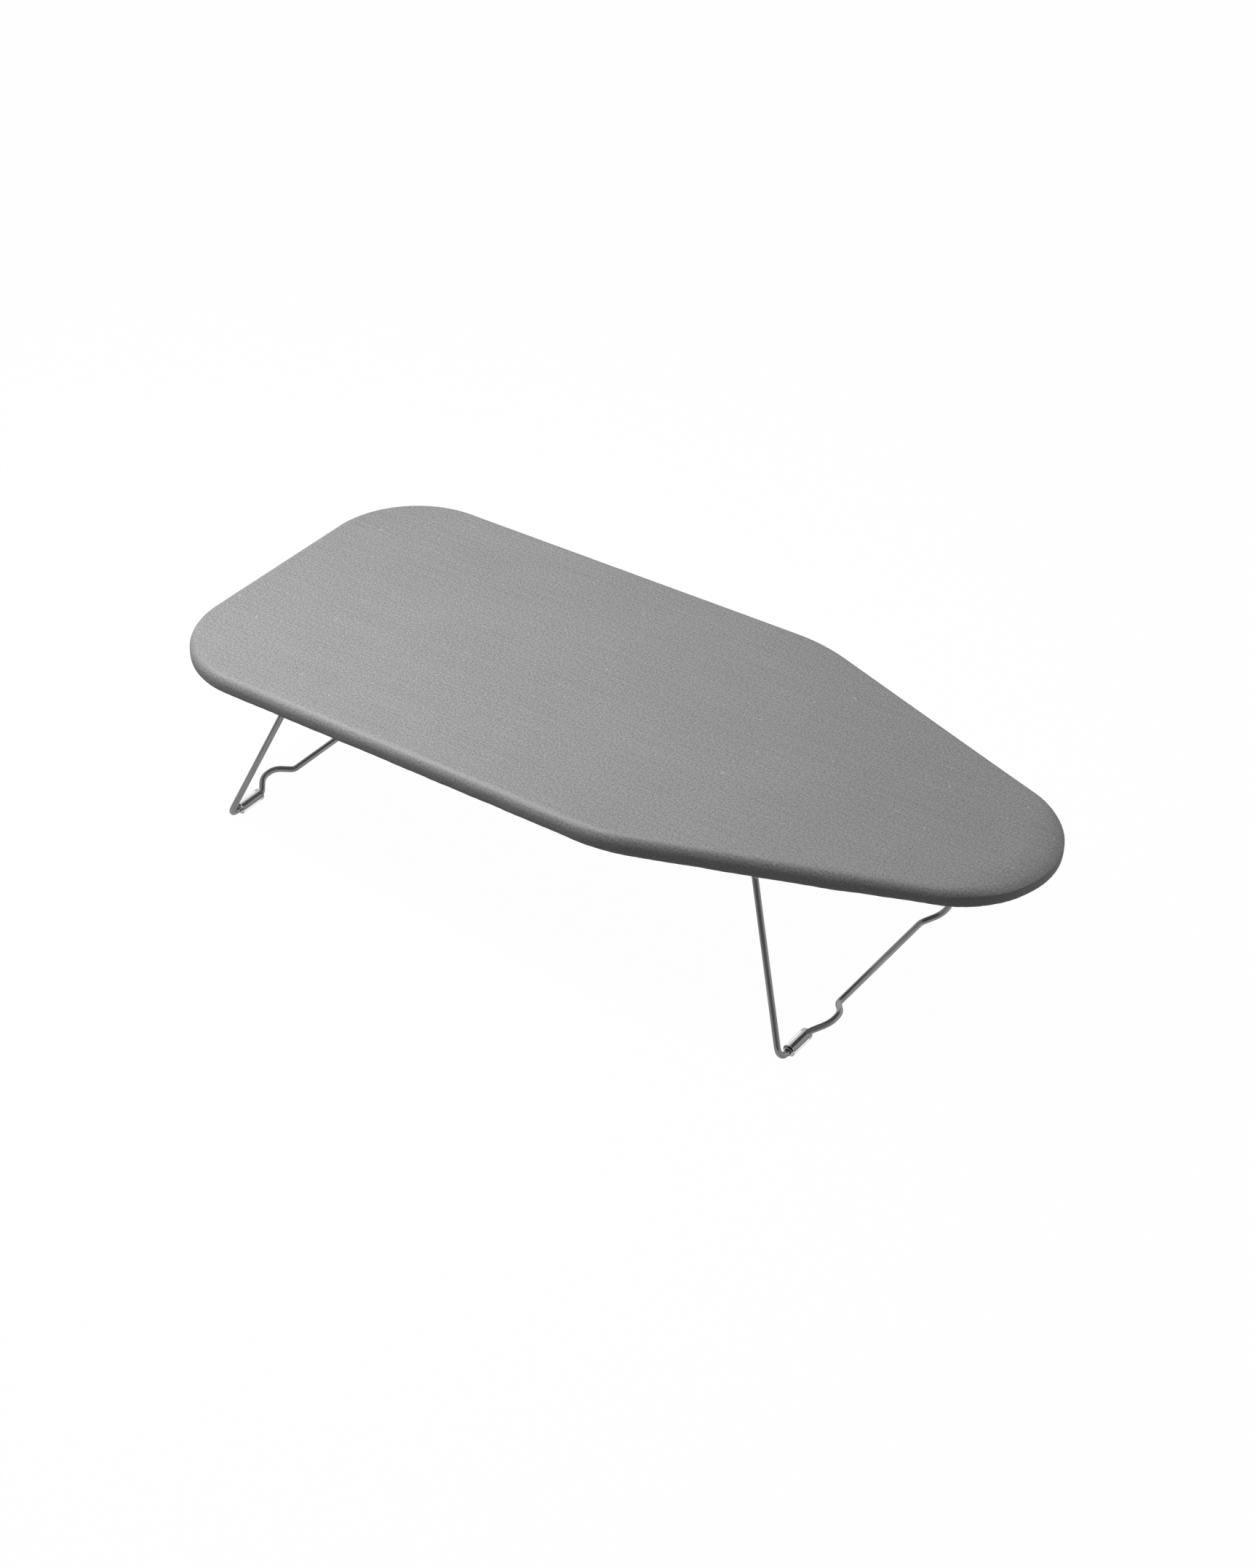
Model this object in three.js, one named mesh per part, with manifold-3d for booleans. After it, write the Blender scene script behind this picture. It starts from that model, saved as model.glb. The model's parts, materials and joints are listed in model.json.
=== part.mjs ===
// Tabletop ironing board on two folding wire legs. Millimetres, +Z up.
// +X points to the nose and +Y to the left of someone who looks along the board to its nose.
// The origin is on the table, under the middle of the board.
import * as THREE from 'three';
import { mergeVertices } from 'three/addons/utils/BufferGeometryUtils.js';
import Module from 'manifold-3d';

// Outline of the board, seen from above. A setback is measured along the board, in from the nose or tail.
const boardLength = 730;
const boardWidth = 320;
const noseRadius = 80;
const tailRadius = 82;
// Where the straight sides would meet the tapered ones, and how round that corner is
const shoulderSetback = 291.5;
const shoulderRadius = 150;

// Layers of the board, from the ironing surface down
const boardHeight = 157;
const coverThickness = 1;
const edgeRadius = 8;
const foamThickness = 5;
const meshThickness = 1;
const rimDiameter = 7;

// Diamond openings of the mesh panel
const diamondLength = 60;
const diamondWidth = 36;
const strandWidth = 5;
const meshBorder = 6;

// Hem of the cover, with the elastic that draws it in below the rails
const elasticDiameter = 2.4;
const hemSetIn = 0.9;

// Channels under the mesh
const railDepth = 5;
const railWall = 1.2;
const railMargin = 2;
const spineWidth = 24;

// Rivets, and the sheet of the hinge brackets round them
const rivetDiameter = 3;
const rivetHeadOverhang = 1.7;
const rivetHeadHeight = 1.8;
const rivetPitch = 17;
const rivetMargin = 1.3;
const rivetRoom = 2;
const sheetThickness = 1.5;
const earWall = 4.2;
const stopStart = 3;
const stopLength = 5;
const stopOverhang = 1.5;

// Legs: one bent wire each, drawn to the corners of its bends
const wireDiameter = 5;
const frontSetback = 189.5;
const rearSetback = 111;
const legInset = 21.6;
const footSpread = 40.8;
const splayDegrees = 21.8;
const pivotBend = 6;
const pivotBendRoom = 2.5;
const footBend = 7;

// Bumps of the foot bar, beside the sleeves
const bumpTop = 15;
const bumpRun = 13;
const bumpHeight = 11;
const bumpFootBend = 7;
const bumpTopBend = 17;

// Clear sleeves that stand on the table
const sleevePlay = 1;
const sleeveWall = 2;
const sleeveLength = 25;
const sleeveSetback = 4;

// Caps on the pivot ends
const capRim = 1.7;
const capDepth = 3.4;
const capWall = 1.2;
const capPlay = 0.4;

// Clearance between pieces that touch
const fitGap = 0.3;

// Sides of round sections, and steps of the arcs
const wireSides = 10;
const roundSides = 12;
const rimSides = 8;
const elasticSides = 6;
const noseSteps = 7;
const shoulderSteps = 3;
const tailSteps = 7;
const edgeSteps = 3;
const wrapSteps = 2;
const hemSteps = 4;
const headSteps = 2;
const bendStep = THREE.MathUtils.degToRad(16);

// Finishes
const cloth = { color: 0x989898, roughness: 0.85, metalness: 0 };
const foam = { color: 0xe9e4d4, roughness: 0.95, metalness: 0 };
const elastic = { color: 0xd8d8d4, roughness: 0.8, metalness: 0 };
const zincSteel = { color: 0xb4b6b8, roughness: 0.45, metalness: 0.9 };
const brightSteel = { color: 0xc2c4c6, roughness: 0.35, metalness: 1 };
const drawnWire = { color: 0x8d8f91, roughness: 0.35, metalness: 1 };
const blackPlastic = { color: 0x3a3b3d, roughness: 0.5, metalness: 0 };
const clearPlastic = { color: 0xf2f4f5, roughness: 0.15, metalness: 0, transparent: true, opacity: 0.35 };

// Places in the outline that follow; taper is the way a tapered side faces, from +X
const halfWidth = boardWidth / 2;
const noseX = boardLength / 2 - noseRadius;
const tailX = tailRadius - boardLength / 2;
const shoulderX = boardLength / 2 - shoulderSetback;
const noseToShoulder = Math.hypot(shoulderX - noseX, halfWidth);
const taper = Math.atan2(halfWidth, shoulderX - noseX) - Math.acos(noseRadius / noseToShoulder);

// Heights and insets that follow from the layers; an inset is measured inwards from the outline
const foamTop = boardHeight - coverThickness - fitGap;
const foamBottom = foamTop - foamThickness;
const meshTop = foamBottom - fitGap;
const meshBottom = meshTop - meshThickness;
const frameTop = meshBottom - fitGap;
const rimZ = frameTop - rimDiameter / 2;
const rimInset = coverThickness + fitGap + rimDiameter / 2;
const frameInset = rimInset + rimDiameter / 2 + fitGap;
const edge = Math.min(edgeRadius, boardHeight - rimZ - fitGap);
const edgeZ = boardHeight - edge;
const railBottom = frameTop - railDepth;
const wrapRadius = rimDiameter / 2 + fitGap;
const hemBore = elasticDiameter / 2 + fitGap;
const hemRadius = hemBore + coverThickness;
const hemInset = frameInset + hemRadius + hemSetIn;
const hemZ = railBottom - fitGap - hemRadius;

// Sizes of the hinges that follow from their rivets and the wire
const wireRadius = wireDiameter / 2;
const rivetHeadRadius = rivetDiameter / 2 + rivetHeadOverhang;
const bracketWidth = rivetPitch + 2 * (rivetHeadRadius + rivetMargin);
const bracketSpan = 2 * (rivetHeadRadius + rivetRoom + sheetThickness);
const railWidth = bracketWidth + 2 * railMargin;
const pivotBore = wireRadius + fitGap;
const baseTop = sheetThickness + fitGap + rivetHeadHeight + pivotBore;
const pivotZ = railBottom - fitGap - baseTop;
const earRadius = pivotBore + earWall;

// Places of the legs that follow
const splay = THREE.MathUtils.degToRad(splayDegrees);
const frontPivotX = boardLength / 2 - frontSetback;
const rearPivotX = rearSetback - boardLength / 2;
const sideAtFrontPivot = (noseRadius + (noseX - frontPivotX) * Math.cos(taper)) / Math.sin(taper);
const pivotHalfSpan = sideAtFrontPivot - legInset;
const footHalfSpan = pivotHalfSpan + footSpread;
const footZ = sleeveWall + fitGap + wireRadius;
const legLength = (pivotZ - footZ) / Math.cos(splay);
const lean = Math.atan2(footSpread, legLength);
const bracketOuterY = pivotHalfSpan - pivotBend * Math.tan((Math.PI / 2 - lean) / 2) - pivotBendRoom;
const bracketInnerY = bracketOuterY - bracketSpan;
const rivetY = (bracketOuterY + bracketInnerY) / 2;
const capY = bracketInnerY - capPlay;
const wireEndY = capY - capDepth + fitGap;
const sleeveBore = wireDiameter + sleevePlay;
const sleeveOuterY = footHalfSpan - footBend * Math.tan((Math.PI / 2 + lean) / 2) - sleeveSetback;
const sleeveInnerY = sleeveOuterY - sleeveLength;
const bumpTurn = Math.atan2(bumpHeight, bumpRun);
const bumpOuterY = sleeveInnerY - fitGap - bumpFootBend * Math.tan(bumpTurn / 2);
const bumpInnerY = bumpOuterY - bumpTop - 2 * bumpRun;

const wasm = await Module();
wasm.setup();

function toSolid(geometry) {
  const bare = geometry.clone();
  bare.deleteAttribute('normal');
  bare.deleteAttribute('uv');
  const merged = mergeVertices(bare);
  return new wasm.Manifold(new wasm.Mesh({
    numProp: 3,
    vertProperties: new Float32Array(merged.attributes.position.array),
    triVerts: new Uint32Array(merged.index.array),
  }));
}

function toGeometry(solid) {
  const mesh = solid.getMesh();
  const geometry = new THREE.BufferGeometry();
  geometry.setAttribute('position', new THREE.BufferAttribute(mesh.vertProperties, 3));
  geometry.setIndex(new THREE.BufferAttribute(mesh.triVerts, 1));
  return geometry;
}

function steps(from, to, count) {
  return Array.from({ length: count + 1 }, (_, i) => from + ((to - from) * i) / count);
}

// The outline, drawn in by an inset: arcs round the nose, shoulders and tail corners, with lines between
function outline(inset) {
  const arc = (x, y, radius, from, to, count) =>
    steps(from, to, count).map((turn) => {
      const distance = radius - inset;
      return new THREE.Vector2(x + distance * Math.cos(turn), y + distance * Math.sin(turn));
    });
  const middle = (Math.PI / 2 + taper) / 2;
  const setIn = shoulderRadius / Math.cos((Math.PI / 2 - taper) / 2);
  const shoulder = [shoulderX - setIn * Math.cos(middle), halfWidth - setIn * Math.sin(middle)];
  const left = [
    ...arc(noseX, 0, noseRadius, 0, taper, noseSteps),
    ...arc(...shoulder, shoulderRadius, taper, Math.PI / 2, shoulderSteps),
    ...arc(tailX, halfWidth - tailRadius, tailRadius, Math.PI / 2, Math.PI, tailSteps),
  ];
  const right = left.slice(1).reverse();
  return [...left, ...right.map((point) => new THREE.Vector2(point.x, -point.y))];
}

// Points on an arc of a section, as inset and height; turn 0 is outermost and a quarter turn is the top
function sectionArc(inset, z, radius, turns) {
  return turns.map((turn) => [inset - radius * Math.cos(turn), z + radius * Math.sin(turn)]);
}

// A solid whose skin runs round the outline through each point of a section, with lids unless it closes
function skin(section, closed) {
  const rings = section.map(([inset, z]) => outline(inset).map((p) => new THREE.Vector3(p.x, p.y, z)));
  const around = rings[0].length;
  const index = [];
  const bands = closed ? rings.length : rings.length - 1;
  for (let ring = 0; ring < bands; ring += 1) {
    const low = ring * around;
    const high = ((ring + 1) % rings.length) * around;
    for (let i = 0; i < around; i += 1) {
      const next = (i + 1) % around;
      index.push(low + i, low + next, high + next, low + i, high + next, high + i);
    }
  }
  if (!closed) {
    const last = (rings.length - 1) * around;
    const lid = (ring) => THREE.ShapeUtils.triangulateShape(ring.map((p) => new THREE.Vector2(p.x, p.y)), []);
    lid(rings[0]).forEach(([a, b, c]) => index.push(c, b, a));
    lid(rings.at(-1)).forEach(([a, b, c]) => index.push(last + a, last + b, last + c));
  }
  const geometry = new THREE.BufferGeometry().setFromPoints(rings.flat());
  geometry.setIndex(index);
  return geometry;
}

function circle(radius, sides) {
  return steps(0, 2 * Math.PI, sides)
    .slice(1)
    .map((turn) => new THREE.Vector2(radius * Math.cos(turn), radius * Math.sin(turn)));
}

// A flat outline in X and Z, drawn out along Y
function prismAlongY(shape, fromY, toY) {
  const geometry = new THREE.ExtrudeGeometry(shape, { depth: toY - fromY, bevelEnabled: false, steps: 1 });
  return geometry.rotateX(Math.PI / 2).translate(0, toY, 0);
}

function prismAlongZ(shape, fromZ, toZ) {
  const geometry = new THREE.ExtrudeGeometry(shape, { depth: toZ - fromZ, bevelEnabled: false, steps: 1 });
  return geometry.translate(0, 0, fromZ);
}

function polygon(points) {
  return new THREE.Shape(points.map(([x, y]) => new THREE.Vector2(x, y)));
}

// A wire bent at its corners: straight runs joined by arcs, with points only where it turns
class BentWire extends THREE.Curve {
  constructor(corners, bends) {
    super();
    this.points = [corners[0]];
    bends.forEach((bend, i) => {
      const corner = corners[i + 1];
      const back = corners[i].clone().sub(corner).normalize();
      const ahead = corners[i + 2].clone().sub(corner).normalize();
      const opening = back.angleTo(ahead);
      const start = corner.clone().addScaledVector(back, bend / Math.tan(opening / 2));
      const inwards = back.clone().add(ahead).normalize();
      const centre = corner.clone().addScaledVector(inwards, bend / Math.sin(opening / 2));
      const axis = new THREE.Vector3().crossVectors(ahead, back).normalize();
      const turn = Math.PI - opening;
      steps(0, turn, Math.ceil(turn / bendStep)).forEach((angle) => {
        this.points.push(start.clone().sub(centre).applyAxisAngle(axis, angle).add(centre));
      });
    });
    this.points.push(corners.at(-1));
  }

  get stepCount() {
    return this.points.length - 1;
  }

  getPoint(t, target = new THREE.Vector3()) {
    const place = t * this.stepCount;
    const i = Math.min(Math.floor(place), this.stepCount - 1);
    return target.lerpVectors(this.points[i], this.points[i + 1], place - i);
  }

  getPointAt(u, target) {
    return this.getPoint(u, target);
  }

  getTangentAt(u, target) {
    return this.getTangent(u, target);
  }
}

function node(name, geometry, finish) {
  geometry.computeVertexNormals();
  const mesh = new THREE.Mesh(geometry, new THREE.MeshStandardMaterial(finish));
  mesh.name = name;
  return mesh;
}

// Cover: cloth from the flat top round the edge and the rim, then in under the rails to its hem
function cover() {
  const edgeTurns = steps(Math.PI / 2, 0, edgeSteps);
  const wrapTurns = steps(0, -Math.PI / 2, wrapSteps);
  const hemTurns = steps(-Math.PI / 2, -2 * Math.PI, hemSteps);
  const inside = [
    ...sectionArc(edge, edgeZ, edge - coverThickness, edgeTurns),
    ...sectionArc(rimInset, rimZ, wrapRadius, wrapTurns),
    ...sectionArc(hemInset, hemZ, hemBore, hemTurns),
  ];
  const outside = [
    ...sectionArc(edge, edgeZ, edge, edgeTurns),
    ...sectionArc(rimInset, rimZ, wrapRadius + coverThickness, wrapTurns),
    ...sectionArc(hemInset, hemZ, hemRadius, hemTurns),
  ];
  return node('cover', skin([...inside, ...outside.reverse()], false), cloth);
}

function hemElastic() {
  const turns = steps(0, 2 * Math.PI, elasticSides).slice(1);
  return node('hem_elastic', skin(sectionArc(hemInset, hemZ, elasticDiameter / 2, turns), true), elastic);
}

// Foam pad: its edge is round with the cover's, a clearance inside it
function foamPad() {
  const radius = edge - coverThickness - fitGap;
  const lowest = Math.asin((foamBottom - edgeZ) / radius);
  const section = sectionArc(edge, edgeZ, radius, steps(lowest, Math.PI / 2, edgeSteps));
  return node('foam_pad', skin(section, false), foam);
}

// Mesh panel: sheet with staggered diamonds, kept whole along the rim
function meshPanel() {
  const border = outline(frameInset + meshBorder);
  const inside = (point) => border.every((corner, i) => {
    const side = border[(i + 1) % border.length].clone().sub(corner);
    return side.cross(point.clone().sub(corner)) > 0;
  });
  const narrowing = strandWidth * Math.hypot(1 / diamondLength, 1 / diamondWidth);
  const alongHalf = (diamondLength / 2) * (1 - narrowing);
  const acrossHalf = (diamondWidth / 2) * (1 - narrowing);
  const sheet = new THREE.Shape(outline(rimInset));
  const columns = Math.ceil(boardLength / diamondLength);
  const rows = Math.ceil(boardWidth / diamondWidth);
  for (let column = -columns; column <= columns; column += 1) {
    for (let row = -rows; row <= rows; row += 1) {
      const x = (column * diamondLength) / 2;
      const y = row * diamondWidth + (column % 2 === 0 ? 0 : diamondWidth / 2);
      const corners = [
        new THREE.Vector2(x + alongHalf, y),
        new THREE.Vector2(x, y + acrossHalf),
        new THREE.Vector2(x - alongHalf, y),
        new THREE.Vector2(x, y - acrossHalf),
      ];
      if (corners.every(inside)) sheet.holes.push(new THREE.Path(corners));
    }
  }
  return node('mesh_panel', prismAlongZ(sheet, meshBottom, meshTop), zincSteel);
}

function rimFrame() {
  const turns = steps(0, 2 * Math.PI, rimSides).slice(1);
  return node('rim_frame', skin(sectionArc(rimInset, rimZ, rimDiameter / 2, turns), true), zincSteel);
}

// A channel that opens upwards, drawn along Y under the mesh
function channel(width, fromY, toY) {
  const side = width / 2;
  const inner = side - railWall;
  const floor = railBottom + railWall;
  const section = polygon([
    [-side, railBottom], [side, railBottom], [side, frameTop], [inner, frameTop],
    [inner, floor], [-inner, floor], [-inner, frameTop], [-side, frameTop],
  ]);
  return prismAlongY(section, fromY, toY);
}

// Cross rail: its ends follow the rim, and its floor has the rivets' holes
function crossRail(name, pivotX) {
  const bar = channel(railWidth, -halfWidth, halfWidth).translate(pivotX, 0, 0);
  const reach = prismAlongZ(new THREE.Shape(outline(frameInset)), railBottom - fitGap, frameTop + fitGap);
  let solid = toSolid(bar).intersect(toSolid(reach));
  const hole = new THREE.Shape(circle(rivetDiameter / 2 + fitGap, roundSides));
  for (const along of [-1, 1]) {
    for (const across of [-1, 1]) {
      const drill = prismAlongZ(hole, railBottom - fitGap, frameTop);
      drill.translate(pivotX + (along * rivetPitch) / 2, across * rivetY, 0);
      solid = solid.subtract(toSolid(drill));
    }
  }
  return node(name, toGeometry(solid), zincSteel);
}

function spineRail() {
  const ends = railWidth / 2 + fitGap;
  const bar = channel(spineWidth, rearPivotX + ends, frontPivotX - ends).rotateZ(-Math.PI / 2);
  return node('spine_rail', bar, zincSteel);
}

// Hinge bracket, seen from its own pivot: a base under the rail, two ears, and a stop outside the open leg
function bracketGeometry() {
  const baseBottom = baseTop - sheetThickness;
  const side = bracketWidth / 2;
  const ear = new THREE.Shape([
    ...circle(earRadius, 2 * roundSides).slice(roundSides - 1),
    new THREE.Vector2(side, baseTop),
    new THREE.Vector2(-side, baseTop),
  ]);
  const base = polygon([[-side, baseBottom], [side, baseBottom], [side, baseTop], [-side, baseTop]]);
  // A point this far down the open leg from the pivot, and this far out from the wire's middle
  const byLeg = (down, out) => [
    down * Math.sin(splay) + out * Math.cos(splay),
    out * Math.sin(splay) - down * Math.cos(splay),
  ];
  const face = wireRadius + fitGap;
  const back = face + sheetThickness;
  const stopEnd = stopStart + stopLength;
  const arm = polygon([byLeg(0, -face), byLeg(stopEnd, -face), byLeg(stopEnd, back), byLeg(0, back)]);
  const tab = polygon([
    byLeg(stopStart, face), byLeg(stopEnd, face), byLeg(stopEnd, back), byLeg(stopStart, back),
  ]);
  const tabOuterY = pivotHalfSpan + stopEnd * Math.tan(lean) + wireRadius + stopOverhang;
  const outerEarY = bracketOuterY - sheetThickness;
  let solid = toSolid(prismAlongY(base, bracketInnerY, bracketOuterY))
    .add(toSolid(prismAlongY(ear, bracketInnerY, bracketInnerY + sheetThickness)))
    .add(toSolid(prismAlongY(ear, outerEarY, bracketOuterY)))
    .add(toSolid(prismAlongY(arm, outerEarY, bracketOuterY)))
    .add(toSolid(prismAlongY(tab, outerEarY, tabOuterY)));
  const bore = new THREE.Shape(circle(pivotBore, roundSides));
  solid = solid.subtract(toSolid(prismAlongY(bore, bracketInnerY - fitGap, bracketOuterY + fitGap)));
  const hole = new THREE.Shape(circle(rivetDiameter / 2 + fitGap, roundSides));
  for (const along of [-1, 1]) {
    const drill = prismAlongZ(hole, baseBottom - fitGap, baseTop + fitGap);
    solid = solid.subtract(toSolid(drill.translate((along * rivetPitch) / 2, rivetY, 0)));
  }
  return toGeometry(solid);
}

// Rivet through a bracket's base and its rail, with a round head on each side
function rivetGeometry() {
  const low = baseTop - sheetThickness - fitGap;
  const high = railBottom + railWall + fitGap - pivotZ;
  const dome = (z, rise, turns) => turns.map((turn) => new THREE.Vector2(
    rivetHeadRadius * Math.cos(turn),
    z + rise * rivetHeadHeight * Math.sin(turn),
  ));
  const profile = [
    ...dome(low, -1, steps(Math.PI / 2, 0, headSteps)),
    new THREE.Vector2(rivetDiameter / 2, low),
    new THREE.Vector2(rivetDiameter / 2, high),
    ...dome(high, 1, steps(0, Math.PI / 2, headSteps)),
  ];
  profile[0].x = 0;
  profile.at(-1).x = 0;
  return new THREE.LatheGeometry(profile, roundSides).rotateX(Math.PI / 2);
}

// Cap pushed on a pivot end, with its mouth towards the bracket
function capGeometry() {
  const radius = pivotBore + capRim;
  const profile = [
    [0, -capDepth - capWall], [radius - capWall, -capDepth - capWall], [radius, -capDepth], [radius, 0],
    [pivotBore, 0], [pivotBore, -capDepth], [0, -capDepth],
  ].map(([x, y]) => new THREE.Vector2(x, y));
  return new THREE.LatheGeometry(profile, roundSides);
}

// Leg wire in its own plane: pivot ends, uprights that lean out, and the foot bar with its two bumps
function legWireGeometry() {
  const half = [
    [0, wireEndY, 0],
    [0, pivotHalfSpan, 0],
    [0, footHalfSpan, -legLength],
    [0, bumpOuterY, -legLength],
    [bumpHeight, bumpOuterY - bumpRun, -legLength],
    [bumpHeight, bumpInnerY + bumpRun, -legLength],
    [0, bumpInnerY, -legLength],
  ].map(([x, y, z]) => new THREE.Vector3(x, y, z));
  const mirrored = half.map((p) => new THREE.Vector3(p.x, -p.y, p.z)).reverse();
  const bends = [pivotBend, footBend, bumpFootBend, bumpTopBend, bumpTopBend, bumpFootBend];
  const route = new BentWire([...half, ...mirrored], [...bends, ...bends.toReversed()]);
  const section = new THREE.Shape(circle(wireRadius, wireSides));
  return new THREE.ExtrudeGeometry(section, { extrudePath: route, steps: route.stepCount });
}

// Sleeve on the foot bar: its flats touch its round sizes, and one flat faces the table
function sleeveGeometry() {
  const toCorner = 1 / Math.cos(Math.PI / roundSides);
  const bore = (sleeveBore / 2) * toCorner;
  const outer = (sleeveBore / 2 + sleeveWall) * toCorner;
  const profile = [[bore, 0], [outer, 0], [outer, sleeveLength], [bore, sleeveLength], [bore, 0]]
    .map(([x, y]) => new THREE.Vector2(x, y));
  return new THREE.LatheGeometry(profile, roundSides, Math.PI / roundSides);
}

// One end of the board: brackets and rivets that stay, and the leg that folds about the pivots.
// The rear end is the front one turned half round, so its left side is drawn on the right.
function legEnd(end, pivotX, turn) {
  const place = new THREE.Group();
  place.position.set(pivotX, 0, pivotZ);
  place.rotation.z = turn;
  const leg = new THREE.Group();
  leg.rotation.y = -splay;
  leg.add(node(`${end}_leg_wire`, legWireGeometry(), drawnWire));
  const foot = new THREE.Group();
  foot.position.z = -legLength;
  foot.rotation.y = splay;
  leg.add(foot);
  place.add(leg);
  const facing = Math.cos(turn) > 0 ? 1 : -1;
  for (const [side, across] of [['left', facing], ['right', -facing]]) {
    const half = new THREE.Group();
    half.scale.y = across;
    half.add(node(`${end}_${side}_hinge_bracket`, bracketGeometry(), zincSteel));
    for (const [count, along] of [[1, 1], [2, -1]]) {
      const rivet = node(`${end}_${side}_rivet_${count}`, rivetGeometry(), brightSteel);
      rivet.position.set((along * rivetPitch) / 2, rivetY, 0);
      half.add(rivet);
    }
    place.add(half);
    const legHalf = new THREE.Group();
    legHalf.scale.y = across;
    const cap = node(`${end}_${side}_pivot_cap`, capGeometry(), blackPlastic);
    cap.position.y = capY;
    legHalf.add(cap);
    leg.add(legHalf);
    const sleeve = node(`${end}_${side}_foot_sleeve`, sleeveGeometry(), clearPlastic);
    sleeve.position.set(0, across > 0 ? sleeveInnerY : -sleeveOuterY, sleeveBore / 2 - wireRadius - fitGap);
    foot.add(sleeve);
  }
  return place;
}

const ironingBoard = new THREE.Group();
ironingBoard.name = 'tabletop_ironing_board';
ironingBoard.add(
  cover(),
  foamPad(),
  meshPanel(),
  rimFrame(),
  crossRail('front_cross_rail', frontPivotX),
  crossRail('rear_cross_rail', rearPivotX),
  spineRail(),
  hemElastic(),
  legEnd('front', frontPivotX, 0),
  legEnd('rear', rearPivotX, Math.PI),
);

export default ironingBoard;
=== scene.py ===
# %% [markdown]
# # A tabletop ironing board
# A steel rim carries a mesh panel, a thin foam pad and a grey cloth cover, and two bent wire legs fold
# in underneath. The construction is loaded as a frame of plain solids at their real size. Each step
# below makes the finished surface of one kind of piece, in the place where the frame has its solid.

# %% Load the frame
import bisect
import json
import math
import random
from itertools import accumulate
from typing import NamedTuple

import bmesh
import bpy
from mathutils import Matrix, Vector, noise


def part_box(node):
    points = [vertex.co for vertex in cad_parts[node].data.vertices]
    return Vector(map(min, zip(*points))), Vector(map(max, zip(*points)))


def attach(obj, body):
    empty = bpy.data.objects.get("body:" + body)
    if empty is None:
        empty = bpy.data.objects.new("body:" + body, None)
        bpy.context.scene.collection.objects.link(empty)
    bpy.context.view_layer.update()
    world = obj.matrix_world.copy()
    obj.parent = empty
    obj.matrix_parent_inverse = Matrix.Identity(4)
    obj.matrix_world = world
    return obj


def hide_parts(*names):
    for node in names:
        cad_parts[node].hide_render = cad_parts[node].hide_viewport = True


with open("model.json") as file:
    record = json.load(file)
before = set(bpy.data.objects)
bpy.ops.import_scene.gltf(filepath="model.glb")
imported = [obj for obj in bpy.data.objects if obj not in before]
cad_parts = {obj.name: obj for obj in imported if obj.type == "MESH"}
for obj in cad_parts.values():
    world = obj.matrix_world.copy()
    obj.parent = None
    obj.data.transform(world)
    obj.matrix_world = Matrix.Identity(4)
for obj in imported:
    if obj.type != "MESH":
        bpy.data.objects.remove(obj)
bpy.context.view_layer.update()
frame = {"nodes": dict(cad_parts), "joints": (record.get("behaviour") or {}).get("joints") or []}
MM = 0.001
X_AXIS, Y_AXIS, Z_AXIS = Vector((1, 0, 0)), Vector((0, 1, 0)), Vector((0, 0, 1))

# %% [markdown]
# ## Camera
# The board was photographed from its nose end, over its right side and a good way up, with a long
# lens. A long lens far away keeps the sides nearly parallel. The lens follows from how many pixels a
# thing one unit wide takes up at one unit's distance, and Blender counts it along the tall side.

# %% Camera
focal_pixels = 4264
photo_height = 2156
camera_azimuth = math.radians(35.19)
camera_elevation = math.radians(35.12)
camera_place = Vector((1.1473, -1.6396, 1.4868))

view_back = Vector((
    math.sin(camera_azimuth) * math.cos(camera_elevation),
    -math.cos(camera_azimuth) * math.cos(camera_elevation),
    math.sin(camera_elevation),
))
lens = bpy.data.cameras.new("camera")
lens.lens = lens.sensor_width * focal_pixels / photo_height
camera = bpy.data.objects.new("camera", lens)
camera.location = camera_place
camera.rotation_euler = view_back.to_track_quat("Z", "Y").to_euler()
bpy.context.scene.collection.objects.link(camera)
bpy.context.scene.camera = camera
print(f"camera lens {lens.lens:.1f} mm")

# %% [markdown]
# ## Shader sums
# A finish is a tree of nodes. Wiring it by hand hides the idea, so one small class wraps a socket and
# lets it be used in ordinary sums: each sum adds a Math node. Every other node comes from one method
# that takes the node's type, its settings and what goes into its sockets.

# %% Sums on sockets
class Value:
    """One output socket, which can be used in sums."""

    def __init__(self, socket):
        self.socket = socket

    def calculate(self, operation, first, second=0.0):
        return Nodes(self.socket.id_data).add("Math", {"operation": operation}, {0: first, 1: second})

    def __add__(self, other):
        return self.calculate("ADD", self, other)

    def __sub__(self, other):
        return self.calculate("SUBTRACT", self, other)

    def __rsub__(self, other):
        return self.calculate("SUBTRACT", other, self)

    def __mul__(self, other):
        return self.calculate("MULTIPLY", self, other)

    def __gt__(self, other):
        return self.calculate("GREATER_THAN", self, other)

    def __abs__(self):
        return self.calculate("ABSOLUTE", self)

    def sine(self):
        return self.calculate("SINE", self)

    def larger(self, other):
        return self.calculate("MAXIMUM", self, other)

    def between(self, low, high):
        """Nought at or below the low value, one at or above the high one."""
        return Nodes(self.socket.id_data).add("MapRange", None, {0: self, 1: low, 2: high})

    __radd__ = __add__
    __rmul__ = __mul__


print("sums on sockets ready")

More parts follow.
